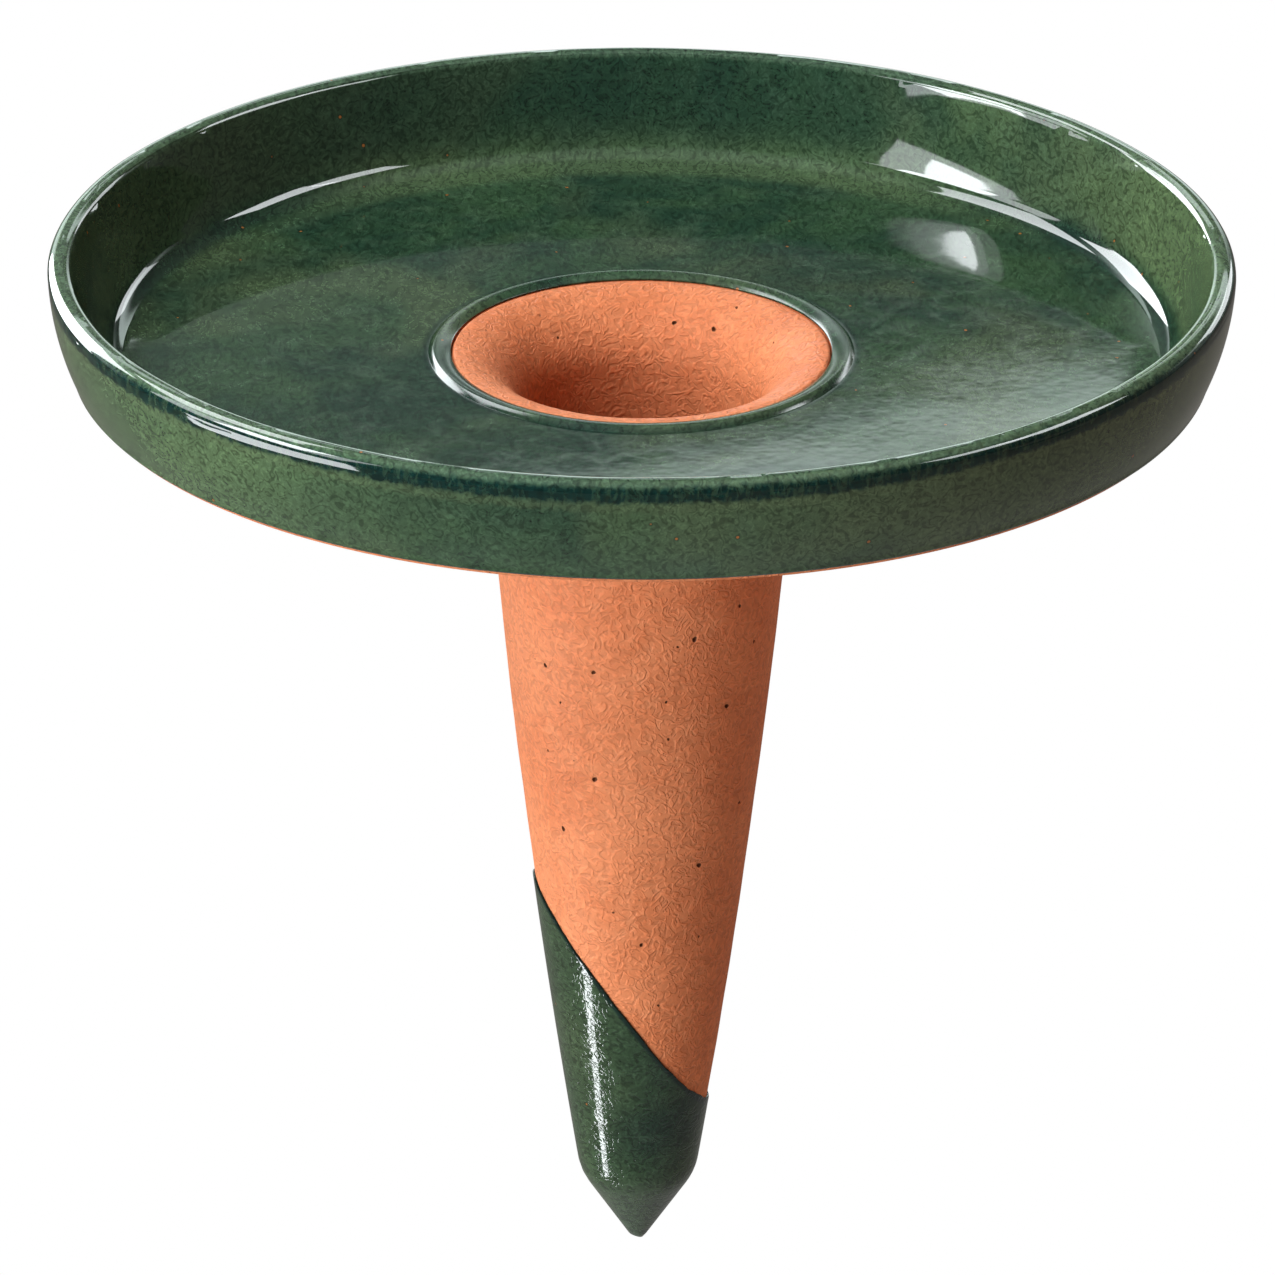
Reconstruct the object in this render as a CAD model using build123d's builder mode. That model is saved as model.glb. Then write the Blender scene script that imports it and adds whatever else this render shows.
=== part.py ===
from build123d import *
from math import atan2, cos, degrees, radians, sin, tan
import os

# Self watering spike: a glazed dish that lies on the soil, and a hollow porous spike that hangs in its socket.
# Lengths are in millimetres. Z points up the shared axis, and its zero is the dish's underside, on the soil.
os.makedirs("parts", exist_ok=True)

# Dish, with its diameters and rim measured over the glaze
rim_diameter = 220.0
rim_height = 25.3
rim_width = 4.35
rim_outer_round = 1.8
rim_inner_round = 1.2
wall_lean = 4.9  # from the rim in to the wall's lower edge
wall_bulge = 1.24  # of the outer wall, beyond a straight side
inner_lean = 6.45  # from the rim's inner edge in to the wall's foot
cove_round = 4.5
floor_thickness = 5.1  # of the clay
edge_drop = 0.6  # from the clay's floor down to the wall's lower edge
edge_round = 0.5
heel_width = 12.0  # of the slope from the wall's lower edge in to the flat underside
heel_round = 3.0
glaze = 0.4
bare_line = 0.6  # of clay under the glaze's lower edge

# Collar round the mouth
collar_width = 3.9
collar_rise = 0.95
collar_lip_rise = 0.2
collar_crest_share = 0.66
collar_foot_round = 0.5

# Socket that the spike hangs in, with the hub under it
ledge_width = 5.0  # from the bore round the shaft out to the socket's wall
ledge_thickness = 3.4
hub_wall = 6.5
hub_round = 1.5

# Seal on the socket's ledge
seal_thickness = 1.2
seal_clearance = 0.3
seal_round = 0.25

# Spike, bare clay
head_height = 5.0
head_rise = 0.1  # of the lip above the dish's glazed floor
head_clearance = 0.3
lip_round = 0.6
shaft_diameter = 60.2  # under the head
shaft_clearance = 0.4
shaft_length = 162.3
shaft_swell = 1.8  # of the shaft's side, beyond a straight taper
point_diameter = 22.6  # where the shaft ends and the point starts
point_round = 12.0  # of the shoulder between the two
point_half_angle = 33.0
nose_round = 1.5
neck_wall = 8.0
well_swell = 2.4
end_inset = 2.8  # from the side of the point in to the end of the well
well_stop = 12.0  # from the start of the point up to the well's round end

# Glaze on the dipped tip
tip_coat = 0.35
dip_depth = 130.5  # from under the head to the slanting edge, on the axis
dip_tilt = 54.9
dip_bearing = 4.0

# Heights that the pieces share
edge_height = floor_thickness - edge_drop
lip_height = floor_thickness + glaze + head_rise
shoulder_height = lip_height - head_height
ledge_height = shoulder_height - seal_thickness
hub_bottom = ledge_height - ledge_thickness
point_height = shoulder_height - shaft_length

# Radii that the pieces share
rim_radius = rim_diameter / 2 - glaze
inner_rim_radius = rim_diameter / 2 - rim_width + glaze
rim_top = rim_height - glaze
edge_radius = rim_radius - wall_lean
heel_radius = edge_radius - heel_width
foot_radius = inner_rim_radius - inner_lean
shaft_radius = shaft_diameter / 2
bore_radius = shaft_radius + shaft_clearance
socket_radius = bore_radius + ledge_width
collar_radius = socket_radius + collar_width
crest_radius = socket_radius + collar_width * collar_crest_share
hub_radius = socket_radius + hub_wall
point_radius = point_diameter / 2
head_radius = socket_radius - head_clearance


def corner(section, radius, height):
    """The corner of a section that lies nearest to a place."""
    return section.vertices().sort_by_distance((radius, height))[0]


# Clay of the dish: one turned section with the wall, the floor, the collar and the stepped socket
with BuildPart() as dish_body:
    with BuildSketch(Plane.XZ) as dish_section:
        with BuildLine():
            Polyline(
                (bore_radius, ledge_height),
                (bore_radius, hub_bottom),
                (hub_radius, hub_bottom),
                (hub_radius, 0),
                (heel_radius, 0),
                (edge_radius, edge_height),
            )
            SagittaArc((edge_radius, edge_height), (rim_radius, rim_top), -wall_bulge)
            Polyline(
                (rim_radius, rim_top),
                (inner_rim_radius, rim_top),
                (foot_radius, floor_thickness),
                (collar_radius, floor_thickness),
            )
            TangentArc(
                (crest_radius, floor_thickness + collar_rise),
                (collar_radius, floor_thickness),
                tangent=(1, 0),
            )
            TangentArc(
                (crest_radius, floor_thickness + collar_rise),
                (socket_radius, floor_thickness + collar_lip_rise),
                tangent=(-1, 0),
            )
            Polyline(
                (socket_radius, floor_thickness + collar_lip_rise),
                (socket_radius, ledge_height),
                (bore_radius, ledge_height),
            )
        make_face()
        fillet(corner(dish_section, rim_radius, rim_top), rim_outer_round)
        fillet(corner(dish_section, inner_rim_radius, rim_top), rim_inner_round)
        fillet(corner(dish_section, foot_radius, floor_thickness), cove_round)
        fillet(corner(dish_section, collar_radius, floor_thickness), collar_foot_round)
        fillet(corner(dish_section, edge_radius, edge_height), edge_round)
        fillet(corner(dish_section, heel_radius, 0), heel_round)
        fillet(corner(dish_section, hub_radius, hub_bottom), hub_round)
        fillet(corner(dish_section, hub_radius, 0), hub_round)
    revolve(axis=Axis.Z)
dish_body.part.label = "dish_body"

# Glaze of the dish: a coat from just above the wall's lower edge, over the rim and the floor, to the socket
with BuildPart() as dish_glaze:
    with BuildSketch(Plane.XZ) as glaze_section:
        add(dish_section.sketch_local)
        offset(amount=glaze)
        add(dish_section.sketch_local, mode=Mode.SUBTRACT)
        inside_floor = edge_height + edge_drop / 2
        inside_wall = (edge_radius + foot_radius) / 2
        with BuildLine():
            Polyline(
                (socket_radius, inside_floor),
                (inside_wall, inside_floor),
                (inside_wall, edge_height + bare_line),
                (rim_diameter, edge_height + bare_line),
                (rim_diameter, rim_height + rim_width),
                (socket_radius, rim_height + rim_width),
                close=True,
            )
        make_face(mode=Mode.INTERSECT)
    revolve(axis=Axis.Z)
dish_glaze.part.label = "dish_glaze"

# Seal: a flat soft ring on the socket's ledge, which carries the spike's head
with BuildPart() as seat_seal:
    with BuildSketch(Plane.XY.offset(ledge_height)):
        Circle(socket_radius - seal_clearance)
        Circle(bore_radius + seal_clearance, mode=Mode.SUBTRACT)
    extrude(amount=seal_thickness)
    fillet(seat_seal.edges().filter_by(GeomType.CIRCLE), seal_round)
seat_seal.part.label = "seat_seal"

# Side of the spike: a bowed shaft, a rounded shoulder and the cone of the point, with a round nose
bow_radius = (shaft_radius + point_radius) / 2 + 2 * shaft_swell
bow_height = (shoulder_height + point_height) / 2
shaft_lean = degrees(atan2(bow_radius - point_radius, bow_height - point_height))


def outward(lean):
    """The direction out of a side that leans in, going down, by an angle from upright."""
    return Vector(cos(radians(lean)), -sin(radians(lean)))


turn_centre = Vector(point_radius, point_height) - outward(shaft_lean) * point_round
turn_end = turn_centre + outward(point_half_angle) * point_round
apex_height = turn_end.Y - turn_end.X / tan(radians(point_half_angle))
nose_centre = Vector(0, apex_height + nose_round / sin(radians(point_half_angle)))


def spike_side(skin):
    """Draws the side from under the head down to the axis, with a skin of glaze on the clay or none."""
    shaft_end = turn_centre + outward(shaft_lean) * (point_round + skin)
    point_start = turn_centre + outward(point_half_angle) * (point_round + skin)
    nose_start = nose_centre + outward(point_half_angle) * (nose_round + skin)
    nose_end = nose_centre - Vector(0, nose_round + skin)
    Bezier((shaft_radius + skin, shoulder_height), (bow_radius + skin, bow_height), shaft_end)
    RadiusArc(shaft_end, point_start, point_round + skin)
    Line(point_start, nose_start)
    RadiusArc(nose_start, nose_end, nose_round + skin)
    return nose_end.Y


# Clay of the spike: a turned section with the trumpet mouth, the side and the well inside
throat_radius = shaft_radius - neck_wall
throat_height = lip_height - (head_radius - throat_radius)
well_end_radius = point_radius - end_inset
well_end_height = point_height + well_stop
well_bow_radius = (throat_radius + well_end_radius) / 2 + 2 * well_swell
well_bow_height = (throat_height + well_end_height) / 2
well_lean = atan2(well_bow_radius - well_end_radius, well_bow_height - well_end_height)
well_round = well_end_radius / cos(well_lean)
well_floor = well_end_height - well_round * (1 - sin(well_lean))
with BuildPart() as spike_body:
    with BuildSketch(Plane.XZ) as spike_section:
        with BuildLine():
            tip_height = spike_side(0)
            Line((0, tip_height), (0, well_floor))
            RadiusArc((0, well_floor), (well_end_radius, well_end_height), -well_round)
            Bezier(
                (well_end_radius, well_end_height),
                (well_bow_radius, well_bow_height),
                (throat_radius, throat_height),
            )
            TangentArc((throat_radius, throat_height), (head_radius, lip_height), tangent=(0, 1))
            Polyline(
                (head_radius, lip_height),
                (head_radius, shoulder_height),
                (shaft_radius, shoulder_height),
            )
        make_face()
        fillet(corner(spike_section, head_radius, lip_height), lip_round)
        fillet(corner(spike_section, head_radius, shoulder_height), lip_round)
    revolve(axis=Axis.Z)
spike_body.part.label = "spike_body"

# Glaze of the tip: a coat on the outside of the spike, cut off along the slanting line of the dip
dip_height = shoulder_height - dip_depth
dip_normal = Vector(0, 0, 1).rotate(Axis.Y, dip_tilt).rotate(Axis.Z, dip_bearing)
with BuildPart() as tip_glaze:
    with BuildSketch(Plane.XZ):
        with BuildLine():
            Polyline((0, spike_side(tip_coat)), (0, shoulder_height), (shaft_radius + tip_coat, shoulder_height))
        make_face()
    revolve(axis=Axis.Z)
    with BuildSketch(Plane(origin=(0, 0, dip_height), z_dir=dip_normal)):
        Circle(shaft_length)
    extrude(amount=shaft_length, mode=Mode.SUBTRACT)
    with BuildSketch(Plane.XZ):
        with BuildLine():
            Polyline((0, spike_side(0)), (0, shoulder_height), (shaft_radius, shoulder_height))
        make_face()
    revolve(axis=Axis.Z, mode=Mode.SUBTRACT)
tip_glaze.part.label = "tip_glaze"

export_step(dish_body.part, "parts/dish_body.step")
export_step(dish_glaze.part, "parts/dish_glaze.step")
export_step(seat_seal.part, "parts/seat_seal.step")
export_step(spike_body.part, "parts/spike_body.step")
export_step(tip_glaze.part, "parts/tip_glaze.step")
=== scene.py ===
"""Looks of the self watering spike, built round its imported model.

A glazed earthenware dish lies on the soil, and a porous terracotta spike hangs in its socket. Places are in
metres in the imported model's frame: Z runs up the shared axis and is zero at the dish's underside, and the
camera stands towards -Y.
"""

import logging
import math
from dataclasses import dataclass, field
from enum import Enum
from functools import partial, reduce

import bpy
import numpy as np
from mathutils import Matrix, Vector


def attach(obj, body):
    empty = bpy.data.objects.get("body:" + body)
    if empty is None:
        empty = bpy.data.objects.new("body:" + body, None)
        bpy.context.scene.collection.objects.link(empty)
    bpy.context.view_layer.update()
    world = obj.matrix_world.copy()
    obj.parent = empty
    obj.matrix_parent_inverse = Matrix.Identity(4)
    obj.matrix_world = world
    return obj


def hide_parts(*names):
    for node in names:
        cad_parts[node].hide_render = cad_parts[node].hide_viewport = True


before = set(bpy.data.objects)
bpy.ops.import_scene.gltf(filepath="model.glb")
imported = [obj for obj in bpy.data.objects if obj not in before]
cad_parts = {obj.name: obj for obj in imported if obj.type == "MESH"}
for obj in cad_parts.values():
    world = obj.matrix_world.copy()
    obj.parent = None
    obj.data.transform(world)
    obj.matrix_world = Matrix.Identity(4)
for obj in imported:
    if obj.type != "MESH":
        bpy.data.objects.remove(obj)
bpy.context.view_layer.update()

MM = 0.001
WHOLE_TURN = 2.0 * math.pi

Colour = tuple[float, float, float]
Pieces = tuple[bpy.types.Object, ...]
Socket = bpy.types.NodeSocket
Span = tuple[float, ...]  # low, high, and what they turn into or how soft they are
Value = object  # a number, a colour, some coordinates or a node's output

log = logging.getLogger("watering_spike")


class Body(Enum):
    """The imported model's bodies."""

    DISH = "dish"
    SEAL = "seal"
    SPIKE = "spike"


class Slot(Enum):
    """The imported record's material slots."""

    CLAY = "terracotta"
    GLAZE = "green_glaze"
    SEAL = "silicone"


class Stretch(Enum):
    """The stretches of an outline that are told apart."""

    OTHER = 0
    SHAFT = 1
    MOUTH = 2
    WELL = 3


# Sections and turned surfaces


def outward(path: np.ndarray) -> np.ndarray:
    """Gives the directions out of the clay along a path.

    Args:
        path: Places (radius, height) with the clay on the left.

    Returns:
        One unit direction for each place.
    """
    run = np.gradient(path, axis=0)
    run /= np.linalg.norm(run, axis=1, keepdims=True)
    return np.column_stack((run[:, 1], -run[:, 0]))


def lengths_along(path: np.ndarray) -> np.ndarray:
    """Gives each place's length along a path."""
    return np.concatenate(([0.0], np.cumsum(np.linalg.norm(np.diff(path, axis=0), axis=1))))


class Outline:
    """A section's outline, drawn as straight runs, bows and curves with rounded corners between them."""

    FINE = 0.02 * MM
    FEWEST = 4  # steps in a run
    FEWEST_ROUND = 12  # steps in an arc
    ROUND_REACH = 6.0  # how far along the two runs a round's ends are looked for, in radii

    def __init__(self, radius: float, height: float) -> None:
        """Starts the outline at a place."""
        self.end = np.array([radius, height])
        self.stretches: list[tuple[np.ndarray, float, Stretch]] = []

    def _add(self, path: np.ndarray, corner: float, mark: Stretch) -> None:
        """Adds a stretch that starts at a rounded corner."""
        self.stretches.append((path, corner, mark))
        self.end = path[-1]

    def line(self, radius: float, height: float, corner: float = 0.0) -> None:
        """Draws a straight run to a place, with a round at its start."""
        self.bow(radius, height, 0.0, corner)

    def bow(
        self, radius: float, height: float, rise: float, corner: float = 0.0, mark: Stretch = Stretch.OTHER
    ) -> None:
        """Draws an arc that rises beyond the straight run on its right.

        Args:
            radius: Where the arc ends, from the axis.
            height: Where the arc ends.
            rise: How far the arc's middle lies right of the straight run.
            corner: The round of the corner that the arc starts at.
            mark: Which stretch it is.
        """
        start, end = self.end, np.array([radius, height])
        chord = np.linalg.norm(end - start)
        count = max(int(chord / self.FINE), self.FEWEST) + 1
        share = np.linspace(-0.5, 0.5, count)
        along = (end - start) / chord
        side = np.array([along[1], -along[0]])
        if rise == 0.0:
            lift = np.zeros(count)
        else:
            arc = (chord * chord / 4 + rise * rise) / (2 * abs(rise))
            lift = np.sign(rise) * (np.sqrt(arc * arc - (share * chord) ** 2) - (arc - abs(rise)))
        middle = (start + end) / 2
        self._add(middle + np.outer(share * chord, along) + np.outer(lift, side), corner, mark)

    def curve(
        self,
        control: tuple[float, float],
        end: tuple[float, float],
        corner: float = 0.0,
        mark: Stretch = Stretch.OTHER,
    ) -> None:
        """Draws a curve pulled towards a control place.

        Args:
            control: The place that the curve's two ends point at.
            end: Where the curve ends.
            corner: The round of the corner that the curve starts at.
            mark: Which stretch it is.
        """
        start, pull, stop = self.end, np.array(control), np.array(end)
        count = max(int(np.linalg.norm(stop - start) / self.FINE), self.FEWEST) + 1
        share = np.linspace(0.0, 1.0, count)[:, None]
        self._add(start * (1 - share) ** 2 + pull * 2 * share * (1 - share) + stop * share**2, corner, mark)

    def arc(self, centre: tuple[float, float], turn: float, mark: Stretch = Stretch.OTHER) -> None:
        """Draws an arc about a centre.

        Args:
            centre: The arc's centre.
            turn: How far it turns, in radians, to the left if more than zero.
            mark: Which stretch it is.
        """
        middle = np.array(centre)
        spoke = self.end - middle
        reach = np.linalg.norm(spoke)
        self._add(self._arc(middle, reach, math.atan2(spoke[1], spoke[0]), turn), 0.0, mark)

    @classmethod
    def _arc(cls, centre: np.ndarray, radius: float, start: float, turn: float) -> np.ndarray:
        """Divides an arc finely.

        Args:
            centre: Its centre.
            radius: Its radius.
            start: The bearing that it starts at.
            turn: How far it turns.

        Returns:
            Its places.
        """
        count = max(int(abs(turn) * radius / cls.FINE), cls.FEWEST_ROUND) + 1
        angles = np.linspace(start, start + turn, count)
        return centre + radius * np.column_stack((np.cos(angles), np.sin(angles)))

    @classmethod
    def _rounded(cls, before: np.ndarray, after: np.ndarray, radius: float) -> list[np.ndarray]:
        """Cuts two stretches back and joins them with an arc that touches both.

        Args:
            before: The first stretch.
            after: The second stretch.
            radius: The arc's radius.

        Returns:
            The first stretch, the arc and the second stretch.
        """
        near = cls.ROUND_REACH * radius
        first = before[lengths_along(before)[-1] - lengths_along(before) <= near]
        last = after[lengths_along(after) <= near]
        out_first, out_last = outward(first), outward(last)
        leaving, coming = first[-1] - first[-2], last[1] - last[0]
        side = -np.sign(leaving[0] * coming[1] - leaving[1] * coming[0])
        from_first = first + side * radius * out_first
        from_last = last + side * radius * out_last
        gaps = np.linalg.norm(from_first[:, None, :] - from_last[None, :, :], axis=2)
        one, two = np.unravel_index(np.argmin(gaps), gaps.shape)
        centre = (from_first[one] + from_last[two]) / 2
        spokes = first[one] - centre, last[two] - centre
        start = math.atan2(spokes[0][1], spokes[0][0])
        turn = math.atan2(spokes[1][1], spokes[1][0]) - start
        turn = (turn + math.pi) % WHOLE_TURN - math.pi
        arc = cls._arc(centre, radius, start, turn)
        before, after = before[: len(before) - len(first) + one + 1], after[two:]
        while (before[-1] - arc[0]) @ (arc[1] - arc[0]) >= 0.0:
            before = before[:-1]
        while (after[1] - arc[-1]) @ (arc[-1] - arc[-2]) <= 0.0:
            after = after[1:]
        return [before, arc, after]

    def path(self) -> tuple[np.ndarray, list[Stretch]]:
        """Gives the whole outline finely divided.

        Returns:
            The places in order, and the stretch that each is on.
        """
        done: list[np.ndarray] = []
        marks: list[Stretch] = []
        for stretch, corner, mark in self.stretches:
            fresh = self._rounded(done.pop(), stretch, corner) if corner > 0.0 else [stretch]
            done += fresh
            marks += [mark] * (len(done) - len(marks))
        places = [done[0]] + [stretch[1:] for stretch in done[1:]]
        lengths = [len(stretch) for stretch in places]
        return np.concatenate(places), [mark for mark, count in zip(marks, lengths) for _ in range(count)]


def thinned(path: np.ndarray, step: float, turn: float) -> np.ndarray:
    """Chooses the places of a fine path that a mesh needs.

    Args:
        path: The finely divided path.
        step: The longest distance between two places.
        turn: The most that the path may turn between two places, in radians.

    Returns:
        The chosen places' numbers in the path.
    """
    run = np.diff(path, axis=0)
    length = np.linalg.norm(run, axis=1)
    heading = np.unwrap(np.arctan2(run[:, 1], run[:, 0]))
    bend = np.abs(np.diff(heading, prepend=heading[0]))
    kept = [0]
    far = bent = 0.0
    for number in range(1, len(path) - 1):
        far += length[number - 1]
        bent += bend[number]
        if far >= step or bent >= turn:
            kept.append(number)
            far = bent = 0.0
    kept.append(len(path) - 1)
    return np.array(kept)


def turned(section: np.ndarray, segments: int) -> np.ndarray:
    """Turns a section about the axis.

    Args:
        section: Places (radius, height).
        segments: How many places go round.

    Returns:
        Places in space, one row for each place of the section.
    """
    angles = np.linspace(0.0, WHOLE_TURN, segments, endpoint=False)
    places = np.empty((len(section), segments, 3))
    places[:, :, 0] = section[:, :1] * np.cos(angles)
    places[:, :, 1] = section[:, :1] * np.sin(angles)
    places[:, :, 2] = section[:, 1:]
    return places


@dataclass(frozen=True)
class Ripple:
    """A smooth unevenness from a potter's hand: its height, the length of its waves, and which one it is."""

    height: float
    length: float
    seed: int
    waves: int = 28  # laid over each other
    spread: tuple[float, float] = (0.7, 1.5)  # of their lengths

    def over(self, places: np.ndarray) -> np.ndarray:
        """Gives the unevenness at each place.

        Args:
            places: Places in space.

        Returns:
            One height for each place.
        """
        draw = np.random.default_rng(self.seed)
        total = np.zeros(places.shape[:-1])
        for _ in range(self.waves):
            way = draw.normal(size=3)
            way *= WHOLE_TURN / (self.length * draw.uniform(*self.spread)) / np.linalg.norm(way)
            total += np.sin(places @ way + draw.uniform(0.0, WHOLE_TURN))
        return total / math.sqrt(self.waves) * self.height


@dataclass(frozen=True)
class Pinhole:
    """A small hole that a burnt-out grain left in the clay."""

    bearing: float  # round the axis, from +X towards +Y
    place: float  # height on the side, or radius in the mouth
    radius: float
    depth: float


class Skin:
    """A turned surface as rows of places, which pinholes are pressed into before it becomes a mesh."""

    PIT_RINGS = ((1.3, 0.0), (1.08, 0.05), (0.92, 0.28), (0.72, 0.7), (0.4, 0.95))  # of radius and depth
    PIT_REACH = 1.75  # of the cut round a pinhole, in its radii
    PIT_UNEVEN = ((2, 0.16), (3, 0.07))  # waves round a pinhole, and their share of its radius
    LIT_RINGS = 2  # rings at a pinhole's mouth that have the clay's own shade
    SHARP_FROM = math.radians(40)
    NO_SIZE = 1e-7
    NO_AREA = 1e-12

    def __init__(self, places: np.ndarray, loops: bool = False) -> None:
        """Takes the rows of places.

        Args:
            places: The places, in rows round the axis.
            loops: Whether the last row joins the first.
        """
        self.places = places
        self.loops = loops
        rows, segments = places.shape[:2]
        self.whole = np.ones((rows if loops else rows - 1, segments), dtype=bool)
        self.extra: list[np.ndarray] = []
        self.extra_faces: list[tuple[int, ...]] = []
        self.dark: list[bool] = []

    def normals(self) -> np.ndarray:
        """Gives the direction out of the surface at each place.

        Returns:
            One unit direction for each place.
        """
        around = np.roll(self.places, -1, axis=1) - np.roll(self.places, 1, axis=1)
        if self.loops:
            along = np.roll(self.places, -1, axis=0) - np.roll(self.places, 1, axis=0)
        else:
            along = np.gradient(self.places, axis=0)
        out = np.cross(around, along)
        size = np.linalg.norm(out, axis=2, keepdims=True)
        return np.divide(out, size, out=np.zeros_like(out), where=size > self.NO_AREA)

    def push(self, distance: np.ndarray) -> None:
        """Moves each place out of the surface by its own distance."""
        self.places = self.places + self.normals() * distance[..., None]

    def press(self, row: int, column: int, hole: Pinhole, draw: np.random.Generator) -> bool:
        """Presses a pinhole into the surface, where no other one stands.

        Args:
            row: The row nearest to the hole's middle.
            column: The place in the row nearest to the hole's middle.
            hole: The hole's size.
            draw: Where the hole's uneven shape is drawn from.

        Returns:
            Whether there was room.
        """
        rows, segments = self.places.shape[:2]
        middle = self.places[row, column]
        around = self.places[row, (column + 1) % segments] - middle
        along = self.places[min(row + 1, rows - 1), column] - middle
        cell = np.linalg.norm(around), np.linalg.norm(along)
        if min(cell) < self.NO_SIZE:
            return False
        reach = self.PIT_REACH * hole.radius
        wide = max(2, math.ceil(reach / cell[0]))
        high = max(2, math.ceil(reach / cell[1]))
        low, top = row - high, row + high
        if low < 1 or top > rows - 2:
            return False
        columns = [(column + step) % segments for step in range(-wide, wide)]
        block = np.ix_(range(low, top), columns)
        if not self.whole[block].all():
            return False
        self.whole[block] = False
        across = around / cell[0]
        out = np.cross(across, along / cell[1])
        out /= np.linalg.norm(out)
        up = np.cross(out, across)
        edge = [(low, column + step) for step in range(-wide, wide)]
        edge += [(low + step, column + wide) for step in range(2 * high)]
        edge += [(top, column + step) for step in range(wide, -wide, -1)]
        edge += [(top - step, column - wide) for step in range(2 * high)]
        ring = [one * segments + two % segments for one, two in edge]
        from_middle = self.places.reshape(-1, 3)[ring] - middle
        angles = np.arctan2(from_middle @ up, from_middle @ across)
        uneven = 1.0
        for waves, share in self.PIT_UNEVEN:
            uneven = uneven + share * np.sin(waves * angles + draw.uniform(0, WHOLE_TURN))
        for number, (share, sunk) in enumerate(self.PIT_RINGS):
            reach = hole.radius * share * uneven
            spots = np.outer(reach * np.cos(angles), across) + np.outer(reach * np.sin(angles), up)
            ring = self._ring(ring, middle + spots - out * hole.depth * sunk, number >= self.LIT_RINGS)
        last = self._count()
        self.extra.append((middle - out * hole.depth)[None, :])
        for one, two in zip(ring, ring[1:] + ring[:1]):
            self._face((one, two, last), True)
        return True

    def _face(self, corners: tuple[int, ...], dark: bool) -> None:
        """Keeps one face of a pinhole."""
        self.extra_faces.append(corners)
        self.dark.append(dark)

    def _count(self) -> int:
        """Gives how many places there are, with those of the pinholes."""
        return self.places.shape[0] * self.places.shape[1] + sum(len(spots) for spots in self.extra)

    def _ring(self, outer: list[int], spots: np.ndarray, dark: bool) -> list[int]:
        """Adds a ring of places inside another and the faces between the two.

        Args:
            outer: The outer ring's numbers.
            spots: The new ring's places.
            dark: Whether the faces lie in the dark of the hole.

        Returns:
            The new ring's numbers.
        """
        start = self._count()
        self.extra.append(spots)
        inner = list(range(start, start + len(spots)))
        count = len(inner)
        for one in range(count):
            two = (one + 1) % count
            self._face((outer[one], outer[two], inner[two], inner[one]), dark)
        return inner

    def mesh(self, name: str) -> bpy.types.Mesh:
        """Makes the mesh, with smooth faces and sharp corners.

        Args:
            name: What the mesh is called.

        Returns:
            The mesh; its faces in pinholes use the second material, which paints their shadow.
        """
        rows, segments = self.places.shape[:2]
        number = np.arange(rows * segments).reshape(rows, segments)
        for row in (0, rows - 1):
            if not self.loops and np.ptp(self.places[row], axis=0).max() < self.NO_SIZE:
                number[row] = number[row, 0]
        one = number if self.loops else number[:-1]
        two = np.roll(number, -1, axis=0) if self.loops else number[1:]
        corners = one, np.roll(one, -1, axis=1), np.roll(two, -1, axis=1), two
        quads = np.stack(corners, axis=2)[self.whole]
        faces = [tuple(dict.fromkeys(quad)) for quad in quads.tolist()]
        faces += self.extra_faces
        places = np.concatenate([self.places.reshape(-1, 3)] + self.extra)
        used = np.unique(np.concatenate([np.array(face) for face in faces]))
        fresh = np.full(len(places), -1)
        fresh[used] = np.arange(len(used))
        mesh = bpy.data.meshes.new(name)
        faces = [tuple(fresh[list(face)].tolist()) for face in faces]
        mesh.from_pydata(places[used].tolist(), [], faces)
        mesh.polygons.foreach_set("use_smooth", [True] * len(faces))
        shades = [0] * len(quads) + [int(dark) for dark in self.dark]
        mesh.polygons.foreach_set("material_index", shades)
        mesh.update()
        mesh.set_sharp_from_angle(angle=self.SHARP_FROM)
        return mesh


def piece(
    name: str, skin: Skin, materials: list[bpy.types.Material], body: Body, node: str
) -> bpy.types.Object:
    """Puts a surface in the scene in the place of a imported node.

    Args:
        name: What the piece is called.
        skin: Its surface.
        materials: Its finishes, in the order of the mesh's material numbers.
        body: The body that it moves with.
        node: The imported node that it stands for.

    Returns:
        The piece.
    """
    mesh = skin.mesh(name)
    made = bpy.data.objects.new(name, mesh)
    for material in materials:
        mesh.materials.append(material)
    bpy.context.scene.collection.objects.link(made)
    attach(made, body.value)
    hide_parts(node)
    log.info("%s stands for %s on %s: %d faces", name, node, body.value, len(mesh.polygons))
    return made


# Nodes of the finishes


@dataclass(frozen=True)
class Grain:
    """A noise: the size of its lumps, how many finer layers it has, how strong they are, and its twist."""

    size: float
    detail: float = 2.0
    rough: float = 0.5
    swirl: float = 0.0


@dataclass(frozen=True)
class Specks:
    """Scattered dots: their spacing, their radius, the width of their edge, and the share that is kept."""

    spacing: float
    radius: float
    soft: float
    share: float


@dataclass(frozen=True)
class Strokes:
    """Short curled strokes, as of a fine brush: one pattern of light ones and one of dark ones."""

    size: float  # of a whorl
    abreast: float = 6.0  # strokes in a whorl
    twist: float = 0.7
    crest: Span = (-0.1, 0.9)
    breaks: float = 3.0  # across a whorl
    gate: Span = (0.36, 0.46)
    seeds: tuple[float, float] = (0.0, 3.0)
    break_seed: float = 7.0


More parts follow.
